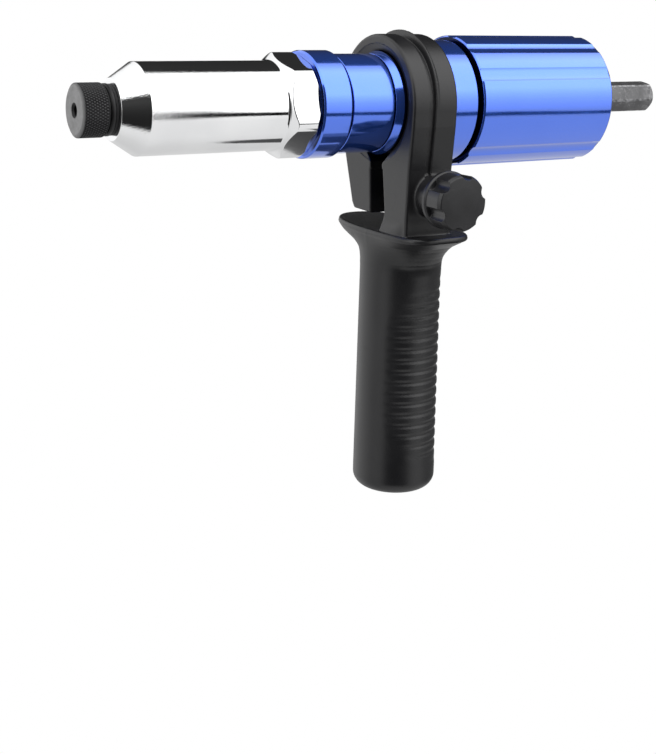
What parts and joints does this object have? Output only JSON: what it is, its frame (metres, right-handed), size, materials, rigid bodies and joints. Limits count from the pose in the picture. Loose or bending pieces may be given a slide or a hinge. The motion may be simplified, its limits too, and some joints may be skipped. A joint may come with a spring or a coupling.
{
  "type": "rivet drill adapter",
  "caption": "Blind rivet puller driven by a drill: knurled nosepiece, polished nose, blue barrel with screw-driven jaws, hex shank and a clamp-on side handle.",
  "frame": {"origin": "on the tool axis, in the plane of the rear sleeve's back face, where the hex shank leaves the tool", "axes": "+X along the tool axis towards the free end of the hex shank, the nose points to -X; the side handle hangs down to -Z; the clamp knob faces -Y"},
  "size_m": [0.224, 0.0693, 0.1578],
  "materials": {
    "black_oxide_steel": "blackened, knurled, lighter where turned",
    "polished_chrome": "mirror polish",
    "blue_anodised": "bright blue anodised, fine turning lines",
    "hardened_steel": "turned and ground",
    "jaw_steel": "hardened",
    "spring_steel": "oiled",
    "bright_steel": "ground",
    "phosphate_steel": "dark phosphate with scratches",
    "black_nylon": "fine moulded texture",
    "black_plastic": "moulded, satin",
    "black_rubber": "smooth",
    "blackened_steel": "blackened"
  },
  "bodies": {
    "barrel": {"barrel": "blue_anodised", "nose_sleeve": "polished_chrome", "rear_sleeve": "blue_anodised", "guide_keys": "bright_steel", "thrust_washer_fixed": "bright_steel", "bearing_outer_ring": "bright_steel", "retaining_ring": "spring_steel", "shaft_seal": "black_rubber"},
    "spindle": {"drive_spindle": "phosphate_steel", "thrust_washer_turning": "bright_steel", "bearing_inner_ring": "bright_steel"},
    "thrust_cage": {"thrust_balls": "bright_steel"},
    "bearing_cage": {"bearing_balls": "bright_steel"},
    "pull": {"pull_tube": "hardened_steel", "jaw_case": "hardened_steel", "lock_ring": "hardened_steel", "jaw_spring": "spring_steel"},
    "pusher": {"jaw_pusher": "jaw_steel"},
    "jaw_a": {"jaw_1": "jaw_steel"},
    "jaw_b": {"jaw_2": "jaw_steel"},
    "jaw_c": {"jaw_3": "jaw_steel"},
    "nose_ring": {"nose_washer": "black_rubber"},
    "nose": {"nosepiece": "black_oxide_steel"},
    "side_handle": {"handle": "black_nylon", "clamp_nut": "blackened_steel"},
    "knob_washer": {"clamp_washer": "blackened_steel"},
    "knob": {"clamp_knob": "black_plastic", "clamp_bolt": "blackened_steel"}
  },
  "joints": [
    {"name": "spindle_turn", "type": "hinge", "parent": "barrel", "child": "spindle", "pos_m": [0, 0, 0], "axis": [-1, 0, 0], "range_deg": [0, 2160.6]},
    {"name": "pull_slide", "type": "slide", "parent": "barrel", "child": "pull", "axis": [1, 0, 0], "range_m": [0, 0.012]},
    {"name": "thrust_roll", "type": "hinge", "parent": "barrel", "child": "thrust_cage", "pos_m": [-0.0375, 0, 0], "axis": [-1, 0, 0], "range_deg": [0, 1080.6]},
    {"name": "bearing_roll", "type": "hinge", "parent": "barrel", "child": "bearing_cage", "pos_m": [-0.00925, 0, 0], "axis": [-1, 0, 0], "range_deg": [0, 864.6]},
    {"name": "pusher_slide", "type": "slide", "parent": "pull", "child": "pusher", "axis": [-1, 0, 0], "range_m": [0, 0.00296], "deforming": ["jaw_spring"]},
    {"name": "jaw_a_slide", "type": "slide", "parent": "pull", "child": "jaw_a", "axis": [-0.9848, 0, -0.1736], "range_m": [0, 0.00301]},
    {"name": "jaw_b_slide", "type": "slide", "parent": "pull", "child": "jaw_b", "axis": [-0.9848, 0.1504, 0.0868], "range_m": [0, 0.00301]},
    {"name": "jaw_c_slide", "type": "slide", "parent": "pull", "child": "jaw_c", "axis": [-0.9848, -0.1504, 0.0868], "range_m": [0, 0.00301]},
    {"name": "nose_turn", "type": "hinge", "parent": "nose_ring", "child": "nose", "pos_m": [-0.188, 0, 0], "axis": [-1, 0, 0], "range_deg": [0, 2880.8]},
    {"name": "nose_advance", "type": "slide", "parent": "barrel", "child": "nose_ring", "axis": [-1, 0, 0], "range_m": [0, 0.008]},
    {"name": "handle_swivel", "type": "hinge", "parent": "barrel", "child": "side_handle", "pos_m": [-0.0752, 0, 0], "axis": [1, 0, 0], "continuous": true},
    {"name": "knob_turn", "type": "hinge", "parent": "knob_washer", "child": "knob", "pos_m": [-0.0752, 0, -0.0285], "axis": [0, -1, 0], "range_deg": [0, 2160.6]},
    {"name": "knob_advance", "type": "slide", "parent": "side_handle", "child": "knob_washer", "axis": [0, -1, 0], "range_m": [0, 0.006]}
  ],
  "couplings": [
    {"joint": "spindle_turn", "follows": "pull_slide", "rad_per_m": 3141.6},
    {"joint": "thrust_roll", "follows": "pull_slide", "rad_per_m": 1570.8},
    {"joint": "bearing_roll", "follows": "pull_slide", "rad_per_m": 1256.6},
    {"joint": "pusher_slide", "follows": "pull_slide", "ratio": 0.2462},
    {"joint": "jaw_a_slide", "follows": "pull_slide", "ratio": 0.25},
    {"joint": "jaw_b_slide", "follows": "pull_slide", "ratio": 0.25},
    {"joint": "jaw_c_slide", "follows": "pull_slide", "ratio": 0.25},
    {"joint": "nose_turn", "follows": "nose_advance", "rad_per_m": 6283.2},
    {"joint": "knob_turn", "follows": "knob_advance", "rad_per_m": 6283.2}
  ]
}
